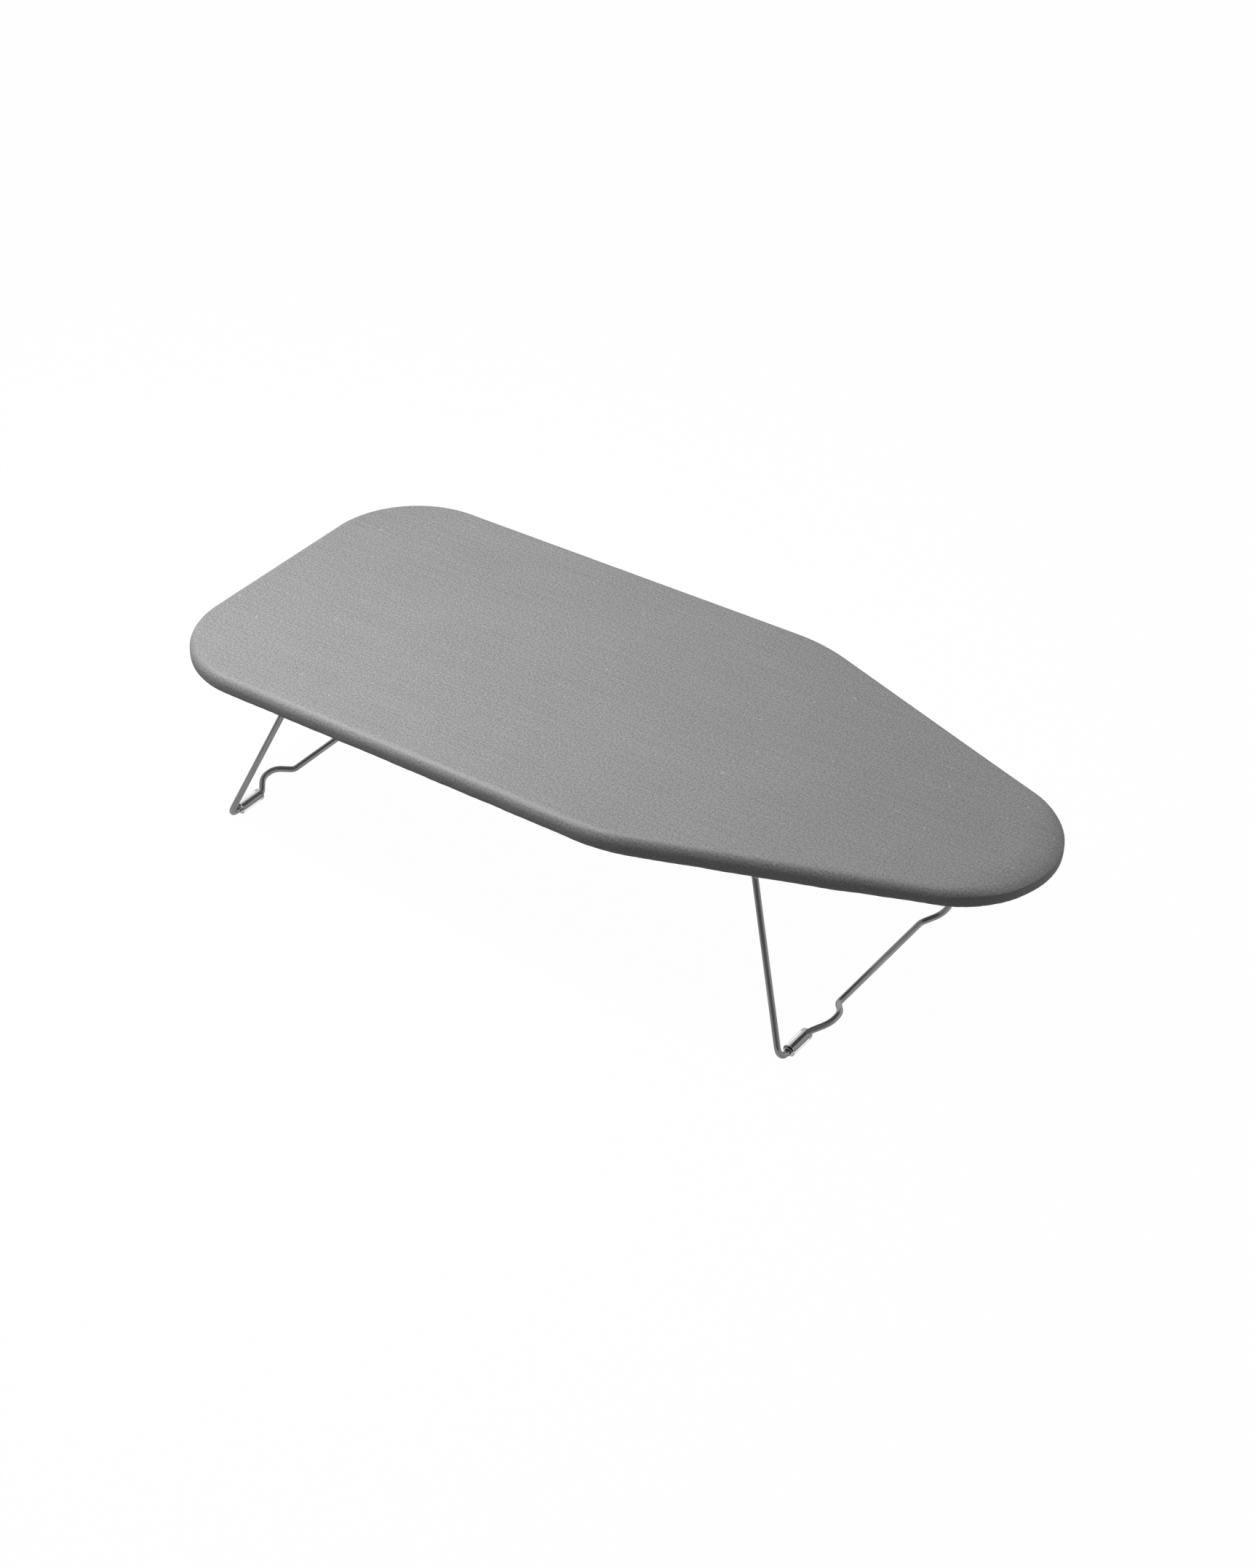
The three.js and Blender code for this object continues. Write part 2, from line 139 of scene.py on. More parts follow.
# %% Nodes and colours
class Nodes:
    """The nodes of a material or a world."""

    def __init__(self, tree):
        self.tree = tree

    def add(self, kind, settings=None, sockets=None, output=0):
        node = self.tree.nodes.new("ShaderNode" + kind)
        for name, setting in (settings or {}).items():
            setattr(node, name, setting)
        for key, source in (sockets or {}).items():
            if isinstance(source, Value):
                self.tree.links.new(source.socket, node.inputs[key])
            else:
                node.inputs[key].default_value = source
        return Value(node.outputs[output]) if node.outputs else None

    def finish(self, shader, output="OutputMaterial"):
        self.add(output, None, {"Surface": shader})


def new_finish(name):
    material = bpy.data.materials.new(name)
    material.use_nodes = True
    material.node_tree.nodes.clear()
    return material, Nodes(material.node_tree)


def along_axis(nodes, place, axis):
    return nodes.add("SeparateXYZ", None, {0: place}, axis)


def rgb(red, green, blue):
    return (red, green, blue, 1.0)


def grey(level):
    return rgb(level, level, level)


print("nodes and colours ready")

# %% [markdown]
# ## Studio
# The picture has a plain white ground. A white made by strong lamps would bleach the board, so the
# floor and the world are white only to rays that come straight from the camera, or through the clear
# plastic. A mirrored ray finds a shaded room, darkest behind the photographer and dim overhead, which
# gives the wires their dark middle line. All other rays find a pale floor and a dim sky. It is
# brightest on the far side and beyond the tail, and black behind the photographer, so the near side of
# the board lies in shade. One lamp hangs high beyond the tail, so the cloth is lightest there and
# darkens to the nose. The floor is clear from below, so that the underside can be looked at.

# %% Sky
sky_level = 0.55
bright_side, bright_ends = (-0.4, 0.8), 0.3
room_slope = (-0.7, 0.85)
mirrored_level, mirrored_dark_side, mirrored_ceiling = 0.68, 0.14, 0.4
mirrored_slope, ceiling_slope = (-1.0, 0.2), (0.1, 0.6)


def ray_kinds(nodes):
    """Marks the rays that come straight or through plastic, and those that were mirrored."""
    path = {kind: nodes.add("LightPath", None, None, f"Is {kind} Ray") for kind in
            ("Camera", "Glossy", "Transmission")}
    mirrored_before = nodes.add("LightPath", None, None, "Glossy Depth") > 0
    straight = path["Camera"].larger(path["Transmission"] * (1 - mirrored_before))
    return straight, path["Glossy"].larger(path["Transmission"] * mirrored_before)


world = bpy.data.worlds.new("studio")
world.use_nodes = True
world.node_tree.nodes.clear()
sky = Nodes(world.node_tree)
straight_ray, mirrored_ray = ray_kinds(sky)
direction = sky.add("TexCoord", None, None, "Generated")
to_nose, to_far_side, upwards = (along_axis(sky, direction, axis) for axis in "XYZ")
brightness = bright_side[0] * to_nose + bright_side[1] * to_far_side + bright_ends * abs(to_nose)
room = sky_level * brightness.between(*room_slope)
from_camera = to_far_side * math.cos(camera_azimuth) - to_nose * math.sin(camera_azimuth)
mirrored = from_camera.between(*mirrored_slope)
ceiling_share = 1 - (1 - mirrored_ceiling) * upwards.between(*ceiling_slope)
mirrored_room = mirrored_dark_side + (mirrored_level - mirrored_dark_side) * mirrored * ceiling_share
level = straight_ray.larger(mirrored_ray * mirrored_room + (1 - mirrored_ray) * room)
sky.finish(sky.add("Background", None, {"Color": level}), "OutputWorld")
bpy.context.scene.world = world
print("sky with", len(world.node_tree.nodes), "nodes")

# %% Floor
floor_half_width = 8.0
floor_level, floor_whiteness, floor_strength = 0.2, 0.92, 1.07
floor_slope = (-0.75, 0.35)

paper, paper_nodes = new_finish("pale_floor")
straight_on_floor, mirrored_on_floor = ray_kinds(paper_nodes)
matt = paper_nodes.add("BsdfDiffuse", None, {"Color": grey(floor_level)})
white = paper_nodes.add("Emission", None, {"Color": grey(1.0), "Strength": floor_strength})
floor_place = paper_nodes.add("TexCoord", None, None, "Object")
far_side = along_axis(paper_nodes, floor_place, "Y").between(*floor_slope)
mirrored_floor = mirrored_on_floor * (mirrored_dark_side + (mirrored_level - mirrored_dark_side) * far_side)
whiteness = straight_on_floor.larger(mirrored_floor) * floor_whiteness
top_side = paper_nodes.add("MixShader", None, {0: whiteness, 1: matt, 2: white})
clear = paper_nodes.add("BsdfTransparent")
under_side = paper_nodes.add("NewGeometry", None, None, "Backfacing")
paper_nodes.finish(paper_nodes.add("MixShader", None, {0: under_side, 1: top_side, 2: clear}))

bm = bmesh.new()
bmesh.ops.create_grid(bm, x_segments=1, y_segments=1, size=floor_half_width)
floor_mesh = bpy.data.meshes.new("floor")
bm.to_mesh(floor_mesh)
bm.free()
floor_mesh.materials.append(paper)
floor = bpy.data.objects.new("floor", floor_mesh)
bpy.context.scene.collection.objects.link(floor)
print("floor", 2 * floor_half_width, "m wide")

# %% Lamp
lamp_place, lamp_aim = Vector((-0.56, -0.3, 1.15)), Vector((-0.2, 0.0, 0.15))
lamp_width, lamp_watts = 0.3, 11.2

lamp = bpy.data.lights.new("tail_lamp", "AREA")
lamp.size = lamp_width
lamp.energy = lamp_watts
lamp_holder = bpy.data.objects.new("tail_lamp", lamp)
lamp_holder.location = lamp_place
lamp_holder.rotation_euler = (lamp_place - lamp_aim).to_track_quat("Z", "Y").to_euler()
bpy.context.scene.collection.objects.link(lamp_holder)
bpy.context.scene.view_settings.view_transform = "Standard"
print(f"lamp of {lamp_watts} W, {lamp_place.z:.2f} m up")

# %% [markdown]
# ## Cloth
# The cover is a plain weave of grey cotton with a dull silvery face. Its threads cross over and under,
# so the cloth is a fine chequer of small crowns, and yarns differ a little in tone. The pattern could
# lie on the plan of the board, but then it would smear down the sides. It reads the place that each
# point had on the flat cut, which the cover carries as an attribute, and so it turns the edge with the
# cloth. In each tone below, a number says how much the part of the pattern beside it counts.

# %% Patterns
# A Mix node has sockets for numbers, vectors and colours. These are the ones for colours.
COLOUR_A, COLOUR_B, COLOUR_OUT = 6, 7, 2


def streaks(nodes, place, scale, detail=2.0):
    stretched = nodes.add("Mapping", None, {"Vector": place, "Scale": scale})
    return nodes.add("TexNoise", None, {"Vector": stretched, "Scale": 1.0, "Detail": detail})


def speckle(nodes, place, size, detail=2.0):
    return nodes.add("TexNoise", None, {"Vector": place, "Scale": 1 / size, "Detail": detail})


def blend_colours(nodes, share, first, second):
    colours = {"Factor": share, COLOUR_A: first, COLOUR_B: second}
    return nodes.add("Mix", {"data_type": "RGBA"}, colours, COLOUR_OUT)


def bump(nodes, height, distance):
    return nodes.add("Bump", None, {"Height": height, "Distance": distance})


print("patterns ready")

# %% Cloth
thread_pitch = 0.8 * MM
yarn_grain, yarn_detail = 1.5 * MM, 4.0
cloth_cloud = 90 * MM
weft_scale, warp_scale = (10, 420, 1), (700, 30, 1)
lint_spacing, lint_above, lint_share = 5.5 * MM, 0.84, 0.5
weave_relief = 0.19 * MM


def woven_finish(name, dark, light):
    material, nodes = new_finish(name)
    flat = nodes.add("Attribute", {"attribute_name": "flat"}, None, "Vector")
    along = along_axis(nodes, flat, "X") * (math.pi / thread_pitch)
    across = along_axis(nodes, flat, "Y") * (math.pi / thread_pitch)
    crossing = along.sine() * across.sine()
    grain = speckle(nodes, flat, yarn_grain, yarn_detail)
    cloud = speckle(nodes, flat, cloth_cloud)
    weft = streaks(nodes, flat, weft_scale)
    warp = streaks(nodes, flat, warp_scale)
    lint = (speckle(nodes, flat, lint_spacing, 0.0) > lint_above) * lint_share
    tone = 0.5 + 0.16 * crossing + 2.0 * (grain - 0.5) + 0.32 * (weft - 0.5) + 0.2 * (warp - 0.5)
    colour = blend_colours(nodes, tone + 0.15 * (cloud - 0.5) + lint, dark, light)
    height = abs(crossing) * 0.35 + grain
    nodes.finish(nodes.add("BsdfPrincipled", None, {
        "Base Color": colour,
        "Roughness": 0.57 + 0.6 * (grain - 0.5),
        "Normal": bump(nodes, height, weave_relief),
        "Metallic": 0.1,
        "Specular IOR Level": 0.8,
    }))
    return material


grey_cloth = woven_finish("grey_cloth", grey(0.18), grey(0.46))
print("cloth with threads", thread_pitch / MM, "mm apart")

# %% [markdown]
# ## Steel
# The rim, mesh, rails and hinges are zinc-plated sheet and tube: a dull metal with faint crystals. The
# legs are drawn wire, and drawing leaves fine lines along it. Those lines follow the bends, so this
# finish reads an attribute with the place of each point on the wire while it was still straight.

# %% Zinc-plated steel
zinc_haze, zinc_grain, zinc_relief = 14 * MM, 0.5 * MM, 0.05 * MM
sheet_crystal, rivet_crystal = 5 * MM, 1.5 * MM


def zinc_finish(name, dark, light, crystal):
    material, nodes = new_finish(name)
    place = nodes.add("TexCoord", None, None, "Object")
    crystals = nodes.add("TexVoronoi", None, {"Vector": place, "Scale": 1 / crystal}, "Color")
    facet = along_axis(nodes, crystals, "X")
    haze = speckle(nodes, place, zinc_haze)
    grain = speckle(nodes, place, zinc_grain)
    tone = 0.45 * facet + 0.9 * (haze - 0.5) + 0.3 * grain
    nodes.finish(nodes.add("BsdfPrincipled", None, {
        "Base Color": blend_colours(nodes, tone, dark, light),
        "Metallic": 1.0,
        "Roughness": 0.3 + 0.2 * haze + 0.12 * facet,
        "Normal": bump(nodes, grain + 2 * haze, zinc_relief),
    }))
    return material


zinc_steel = zinc_finish("zinc_steel", rgb(0.36, 0.37, 0.38), rgb(0.66, 0.67, 0.68), sheet_crystal)
rivet_steel = zinc_finish("rivet_steel", rgb(0.5, 0.5, 0.5), rgb(0.74, 0.74, 0.73), rivet_crystal)
print("zinc with crystals", sheet_crystal / MM, "and", rivet_crystal / MM, "mm wide")

# %% Drawn wire
line_scale, line_detail = (2600, 2600, 9), 3.0
smear_scale = (500, 500, 40)
line_relief = 0.015 * MM


def drawn_finish(name, dark, light):
    material, nodes = new_finish(name)
    straight = nodes.add("Attribute", {"attribute_name": "straight"}, None, "Vector")
    lines = streaks(nodes, straight, line_scale, line_detail)
    smears = streaks(nodes, straight, smear_scale)
    tone = 0.5 + 1.1 * (lines - 0.5) + 1.2 * (smears - 0.5)
    nodes.finish(nodes.add("BsdfPrincipled", None, {
        "Base Color": blend_colours(nodes, tone, dark, light),
        "Metallic": 1.0,
        "Roughness": 0.1 + 0.12 * lines,
        "Normal": bump(nodes, lines, line_relief),
    }))
    return material


drawn_steel = drawn_finish("drawn_steel", grey(0.26), grey(0.54))
print("wire with lines", line_relief / MM, "mm deep")

# %% [markdown]
# ## Foam, elastic, thread and plastics
# The foam is cream, with open cells. The elastic is a braided cord. The feet wear short sleeves cut
# from clear tube, and dark caps are pushed on the hidden ends of the wires. Clear plastic needs no
# colour: it is glass with a lower index and a slightly dull skin.

# %% Foam
foam_cell, foam_haze, foam_relief = 1.3 * MM, 30 * MM, 0.6 * MM


def foam_finish(name, dark, light):
    material, nodes = new_finish(name)
    place = nodes.add("TexCoord", None, None, "Object")
    cells = nodes.add("TexVoronoi", None, {"Vector": place, "Scale": 1 / foam_cell})
    haze = speckle(nodes, place, foam_haze)
    tone = 1.1 * cells + 0.5 * (haze - 0.5)
    nodes.finish(nodes.add("BsdfPrincipled", None, {
        "Base Color": blend_colours(nodes, tone, dark, light),
        "Roughness": 0.95,
        "Normal": bump(nodes, cells, foam_relief),
    }))
    return material


cream_foam = foam_finish("cream_foam", rgb(0.66, 0.61, 0.50), rgb(0.90, 0.87, 0.78))
print("foam with cells", foam_cell / MM, "mm wide")

# %% Elastic and thread
fibre_size, braid_relief = 0.4 * MM, 0.15 * MM
elastic_pitch, thread_twist = 0.9 * MM, 0.3 * MM


def braided_finish(name, pitch, dark, light):
    material, nodes = new_finish(name)
    place = nodes.add("TexCoord", None, None, "Object")
    x, y, z = (along_axis(nodes, place, axis) for axis in "XYZ")
    one_way = ((x + z) * (math.pi / pitch)).sine()
    other_way = ((y - z) * (math.pi / pitch)).sine()
    braid = abs(one_way * other_way)
    fibres = speckle(nodes, place, fibre_size)
    nodes.finish(nodes.add("BsdfPrincipled", None, {
        "Base Color": blend_colours(nodes, 0.4 * braid + 0.6 * fibres, dark, light),
        "Roughness": 0.85,
        "Normal": bump(nodes, braid + fibres, braid_relief),
    }))
    return material


braided_elastic = braided_finish("braided_elastic", elastic_pitch, grey(0.45), grey(0.78))
grey_thread = braided_finish("grey_thread", thread_twist, grey(0.25), grey(0.5))
print("braids", elastic_pitch / MM, "and", thread_twist / MM, "mm long")

# %% Plastics
cap_grain, cap_haze, cap_relief = 0.35 * MM, 4 * MM, 0.04 * MM
rub_scale = (400, 60, 400)
clear_dullness, clear_index = 0.06, 1.27


def dull_plastic(name, dark, light):
    material, nodes = new_finish(name)
    place = nodes.add("TexCoord", None, None, "Object")
    grain = speckle(nodes, place, cap_grain)
    haze = speckle(nodes, place, cap_haze)
    nodes.finish(nodes.add("BsdfPrincipled", None, {
        "Base Color": blend_colours(nodes, haze, dark, light),
        "Roughness": 0.42 + 0.25 * grain,
        "Normal": bump(nodes, grain, cap_relief),
    }))
    return material


def clear_finish(name, tint):
    material, nodes = new_finish(name)
    place = nodes.add("TexCoord", None, None, "Object")
    rub = streaks(nodes, place, rub_scale)
    nodes.finish(nodes.add("BsdfPrincipled", None, {
        "Base Color": tint,
        "Roughness": clear_dullness * rub,
        "IOR": clear_index,
        "Transmission Weight": 1.0,
    }))
    return material


dark_plastic = dull_plastic("dark_plastic", grey(0.025), grey(0.05))
clear_plastic = clear_finish("clear_plastic", grey(0.97))
print("finishes:", sorted(material.name for material in bpy.data.materials))

# %% [markdown]
# ## Runs and turns
# Wire, tube and rolled edges are all made by one idea: carry a section straight ahead, or round a
# centre. Blender's spin operator does both, because it can move a section by a step as well as turn it.
# A sweep is a list of such moves. A piece whose finish has to know how far along the sweep a point is
# hands in a note, which is called at every place where the section stops.

# %% Runs and turns
class Move(NamedTuple):
    """A straight run ahead, or a turn by an angle about an axis through a centre."""

    length: float
    ahead: Vector = Vector()
    centre: Vector = Vector()
    axis: Vector = Z_AXIS
    angle: float = 0.0


def run(ahead):
    return Move(ahead.length, ahead)


def turn(centre, axis, angle, radius):
    return Move(angle * radius, Vector(), centre, axis, angle)


def points_of(section):
    return [part for part in section if isinstance(part, bmesh.types.BMVert)]


def sweep(bm, section, moves, step, note=None):
    """Carries a section along the moves. Where a note is taken, each step is a spin of its own."""
    travelled = 0.0
    if note:
        note(points_of(section), travelled)
    for move in moves:
        count = max(1, round(move.length / step))
        stops = count if note else 1
        for _ in range(stops):
            made = bmesh.ops.spin(bm, geom=section, steps=count // stops, dvec=move.ahead / count,
                                  cent=move.centre, axis=move.axis, angle=move.angle / stops)
            section = made["geom_last"]
            travelled += move.length / stops
            if note:
                note(points_of(section), travelled)


print("sweeps ready")

# %% Rings and pieces
merge_distance = 0.01 * MM


def ring(bm, radius, sides, place):
    made = bmesh.ops.create_circle(bm, segments=sides, radius=radius, matrix=place)
    return made["verts"] + list({edge for point in made["verts"] for edge in point.link_edges})


def close_up(bm):
    bmesh.ops.remove_doubles(bm, verts=bm.verts, dist=merge_distance)
    bmesh.ops.holes_fill(bm, edges=[edge for edge in bm.edges if edge.is_boundary])
    bmesh.ops.recalc_face_normals(bm, faces=bm.faces)


def make_piece(bm, name, material, body, slot, *solids, smooth_below=40):
    mesh = bpy.data.meshes.new(name)
    bm.to_mesh(mesh)
    bm.free()
    mesh.materials.append(material)
    mesh.shade_smooth()
    mesh.set_sharp_from_angle(angle=math.radians(smooth_below))
    piece = bpy.data.objects.new(name, mesh)
    bpy.context.scene.collection.objects.link(piece)
    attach(piece, body)
    if solids:
        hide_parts(*solids)
    return piece


def thicken(piece, thickness):
    """Gives a sheet its thickness, behind the side that its faces show."""
    wall = piece.modifiers.new("thickness", "SOLIDIFY")
    wall.thickness = thickness
    wall.offset = -1


print("points closer than", merge_distance / MM, "mm are merged")

# %% [markdown]
# ## Leg wires
# Each leg is one length of wire: a short pivot end, an upright that leans out, the foot bar with its
# two bumps, and the same again on the other side. A bending machine feeds the wire and turns it about
# a former, and the sweep does just that. The corners below are where the straight runs would meet, and
# each has the radius of its former.

# %% Legs in the frame
splay = math.radians(21.8)
foot_height = 4.8 * MM

leg_ends = {}
for joint in frame["joints"]:
    end = joint["child"].split("_")[0]
    pivot = Vector(joint["pos_m"])
    facing = joint["axis"][1]
    leg_place = Matrix.Translation(pivot) @ Matrix.Diagonal((facing, facing, 1, 1))
    leg_ends[end] = {"body": joint["child"], "place": leg_place, "facing": facing}
leg_length = (pivot.z - foot_height) / math.cos(splay)
leg_lean = Matrix.Rotation(-splay, 4, "Y")
print("legs:", sorted(leg_ends), "each", round(leg_length / MM), "mm long")

# %% Bends
def bent_route(corners, bends):
    moves = []
    here = corners[0]
    for before, corner, after, bend in zip(corners, corners[1:], corners[2:], bends):
        back = (before - corner).normalized()
        ahead = (after - corner).normalized()
        half_opening = back.angle(ahead) / 2
        reach = bend / math.tan(half_opening)
        centre = corner + (back + ahead).normalized() * (bend / math.sin(half_opening))
        moves.append(run(corner + back * reach - here))
        moves.append(turn(centre, ahead.cross(back).normalized(), math.pi - 2 * half_opening, bend))
        here = corner + ahead * reach
    moves.append(run(corners[-1] - here))
    return moves


print("bends ready")

# %% Leg wires
wire_radius = 2.5 * MM
wire_sides = 20
wire_step = 2.5 * MM
pivot_end, pivot_half_span, foot_half_span = 78.25 * MM, 102.179 * MM, 142.979 * MM
bump_start, bump_end = 101.832 * MM, 60.832 * MM
bump_run, bump_height = 13 * MM, 11 * MM
pivot_bend, foot_bend = 6 * MM, 7 * MM
bump_foot_bend, bump_top_bend = 7 * MM, 17 * MM


def leg_wire(end, body, place):
    one_side = [Vector(corner) for corner in (
        (0, pivot_end, 0),
        (0, pivot_half_span, 0),
        (0, foot_half_span, -leg_length),
        (0, bump_start, -leg_length),
        (bump_height, bump_start - bump_run, -leg_length),
        (bump_height, bump_end + bump_run, -leg_length),
        (0, bump_end, -leg_length),
    )]
    corners = one_side + [Vector((corner.x, -corner.y, corner.z)) for corner in reversed(one_side)]
    bends = [pivot_bend, foot_bend, bump_foot_bend, bump_top_bend, bump_top_bend, bump_foot_bend]
    bm = bmesh.new()
    straight = bm.verts.layers.float_vector.new("straight")
    start = Matrix.Translation(corners[0]) @ Matrix.Rotation(math.pi / 2, 4, "X")
    section = ring(bm, wire_radius, wire_sides, start)
    for point in points_of(section):
        spoke = point.co - corners[0]
        point[straight] = (spoke.x, spoke.z, 0)

    def note_length(points, travelled):
        for point in points:
            point[straight] = (*point[straight].to_2d(), travelled)

    sweep(bm, section, bent_route(corners, bends + bends[::-1]), wire_step, note_length)
    close_up(bm)
    bmesh.ops.transform(bm, matrix=place @ leg_lean, verts=bm.verts)
    return make_piece(bm, f"{end}_bent_wire", drawn_steel, body, "leg_wire", f"{end}_leg_wire")


for end, leg in leg_ends.items():
    wire = leg_wire(end, leg["body"], leg["place"])
    print(wire.name, len(wire.data.polygons), "faces")

# %% [markdown]
# ## Turned pieces
# Sleeves, caps and rivets are round, so each is a profile spun once about its axis. A full spin is told
# to merge its last ring with its first. The cut ends of a sleeve and the rim of a cap get a small bevel
# on the profile before the spin, because no real edge is perfectly sharp. A sleeve is pushed over the
# wire and grips it, so its bore is a hair narrower. It is spun in finer steps than the rest, because
# clear plastic shows every facet.

# %% Profiles
spin_steps = 48
edge_segments = 3
spun_merge = 0.001 * MM


def spun(profile, axis, edge_radius, closed, steps=spin_steps):
    """A profile of distances from the axis and heights along it, spun once round."""
    bm = bmesh.new()
    side = axis.orthogonal().normalized()
    points = [bm.verts.new(side * out + axis * up) for out, up in profile]
    for first, second in zip(points, points[1:]):
        bm.edges.new((first, second))
    if closed:
        bm.edges.new((points[-1], points[0]))
    corners = points if closed else points[1:-1]
    bmesh.ops.bevel(bm, geom=corners, offset=edge_radius, segments=edge_segments, profile=0.5,
                    affect="VERTICES", clamp_overlap=True, material=-1)
    bmesh.ops.spin(bm, geom=bm.verts[:] + bm.edges[:], cent=Vector(), axis=axis, angle=2 * math.pi,
                   steps=steps, use_merge=True)
    bmesh.ops.remove_doubles(bm, verts=bm.verts, dist=spun_merge)
    bmesh.ops.recalc_face_normals(bm, faces=bm.faces)
    return bm


print("profiles are spun in", spin_steps, "steps")

# %% Sleeves
sleeve_bore = 2.45 * MM
sleeve_edge = 0.3 * MM
sleeve_steps = 160
sleeve_smooth_below = 10
SIDES = (("left", 1), ("right", -1))

for end, leg in leg_ends.items():
    for side, _ in SIDES:
        low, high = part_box(f"{end}_{side}_foot_sleeve")
        outer = (high.z - low.z) / 2
        half_sleeve = (high.y - low.y) / 2
        sleeve_profile = [(sleeve_bore, -half_sleeve), (outer, -half_sleeve),
                          (outer, half_sleeve), (sleeve_bore, half_sleeve)]
        bm = spun(sleeve_profile, Y_AXIS, sleeve_edge, True, sleeve_steps)
        bmesh.ops.translate(bm, verts=bm.verts, vec=(low + high) / 2)
        sleeve = make_piece(bm, f"{end}_{side}_clear_sleeve", clear_plastic, leg["body"], "clear_sleeve",
                            f"{end}_{side}_foot_sleeve", smooth_below=sleeve_smooth_below)
        print(sleeve.name, len(sleeve.data.polygons), "faces")

# %% Caps and rivets
cap_radius, cap_bore = 4.5 * MM, 2.8 * MM
cap_depth, cap_wall, cap_edge = 3.4 * MM, 1.2 * MM, 0.35 * MM
cap_mouth = 81.353 * MM
rivet_radius, rivet_edge = 1.5 * MM, 0.12 * MM
head_radius, head_height = 3.2 * MM, 1.8 * MM
rivet_low, rivet_high = 4.6 * MM, 8.2 * MM
rivet_pitch, rivet_across = 17 * MM, 88.453 * MM
dome_steps = 8

cap_profile = [
    (0, -cap_depth - cap_wall), (cap_radius - cap_wall, -cap_depth - cap_wall), (cap_radius, -cap_depth),
    (cap_radius, 0), (cap_bore, 0), (cap_bore, -cap_depth), (0, -cap_depth),
]
dome = [(head_radius * math.sin(turned), head_height * math.cos(turned)) for turned in
        (math.pi / 2 * step / dome_steps for step in range(dome_steps + 1))]
rivet_profile = [(out, rivet_low - up) for out, up in dome] + [(rivet_radius, rivet_low)]
rivet_profile += [(rivet_radius, rivet_high)] + [(out, rivet_high + up) for out, up in reversed(dome)]

caps, rivets = [], []
for end, leg in leg_ends.items():
    pivot = leg["place"].translation
    for side, to_side in SIDES:
        bm = spun(cap_profile, Y_AXIS * to_side, cap_edge, False)
        bmesh.ops.translate(bm, verts=bm.verts, vec=pivot + Y_AXIS * (to_side * cap_mouth))
        caps.append(make_piece(bm, f"{end}_{side}_push_cap", dark_plastic, leg["body"], "cap_plastic",
                               f"{end}_{side}_pivot_cap"))
        for count, to_end in ((1, leg["facing"]), (2, -leg["facing"])):
            bm = spun(rivet_profile, Z_AXIS, rivet_edge, False)
            rivet_place = pivot + Vector((to_end * rivet_pitch / 2, to_side * rivet_across, 0))
            bmesh.ops.translate(bm, verts=bm.verts, vec=rivet_place)
            rivets.append(make_piece(bm, f"{end}_{side}_domed_rivet_{count}", rivet_steel, "board",
                                     "rivet_steel", f"{end}_{side}_rivet_{count}"))
print(len(caps), "caps,", len(rivets), "rivets")

# %% [markdown]
# ## Pressed sheet
# Rails and hinge brackets are pressed from sheet, so their bends and cut edges are slightly round. The
# frame's solids already have their exact shape. A copy is merged, its flat faces are joined, and every
# sharp edge is bevelled.

# %% Pressed sheet
sheet_edge = 0.3 * MM
flat_angle, sharp_angle = math.radians(1), math.radians(40)
RAILS = {"front_cross_rail": "front_channel", "rear_cross_rail": "rear_channel",
         "spine_rail": "spine_channel"}


def pressed_copy(solid, name, slot):
    bm = bmesh.new()
    bm.from_mesh(frame["nodes"][solid].data)
    bmesh.ops.remove_doubles(bm, verts=bm.verts, dist=merge_distance)
    bmesh.ops.dissolve_limit(bm, angle_limit=flat_angle, verts=bm.verts, edges=bm.edges)
    sharp = [edge for edge in bm.edges if edge.calc_face_angle(0) > sharp_angle]
    bmesh.ops.bevel(bm, geom=sharp, offset=sheet_edge, segments=edge_segments, profile=0.5,
                    affect="EDGES", clamp_overlap=True, material=-1)
    piece = make_piece(bm, name, zinc_steel, "board", slot, solid)
    print(piece.name, len(piece.data.polygons), "faces")


for solid, rail in RAILS.items():
    pressed_copy(solid, rail, "frame_steel")
for end in leg_ends:
    for side, _ in SIDES:
        pressed_copy(f"{end}_{side}_hinge_bracket", f"{end}_{side}_pressed_hinge", "bracket_steel")

# %% [markdown]
# ## A lap of the board
# Rim, foam, elastic and cover all follow the same outline: a straight tail with round corners, straight
# sides, soft shoulders, tapered sides and a round nose. One list of moves goes once round it, starting
# in the middle of the tail. A section further in makes the same moves, and stays parallel by itself. A
# shoulder is an arc that rounds off the meeting of a straight side and its taper.

# %% A lap of the board
nose_radius, tail_radius, shoulder_radius = 80 * MM, 82 * MM, 150 * MM
shoulder_setback = 291.5 * MM

half_length, half_width, board_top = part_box("cover")[1]
nose = Vector((half_length - nose_radius, 0, 0))
tail_corner = Vector((tail_radius - half_length, half_width - tail_radius, 0))
meeting = Vector((half_length - shoulder_setback, half_width, 0))
taper = math.atan2(meeting.y, meeting.x - nose.x) - math.acos(nose_radius / (meeting - nose).length)
middle_turn = (math.pi / 2 + taper) / 2
set_in = shoulder_radius / math.cos((math.pi / 2 - taper) / 2)
shoulder = meeting - set_in * Vector((math.cos(middle_turn), math.sin(middle_turn), 0))
taper_facing = Vector((math.cos(taper), math.sin(taper), 0))


def on_right(move):
    """The same move on the right side, where the lap runs back to the tail."""
    ahead = Vector((-move.ahead.x, move.ahead.y, 0))
    return move._replace(ahead=ahead, centre=Vector((move.centre.x, -move.centre.y, 0)))


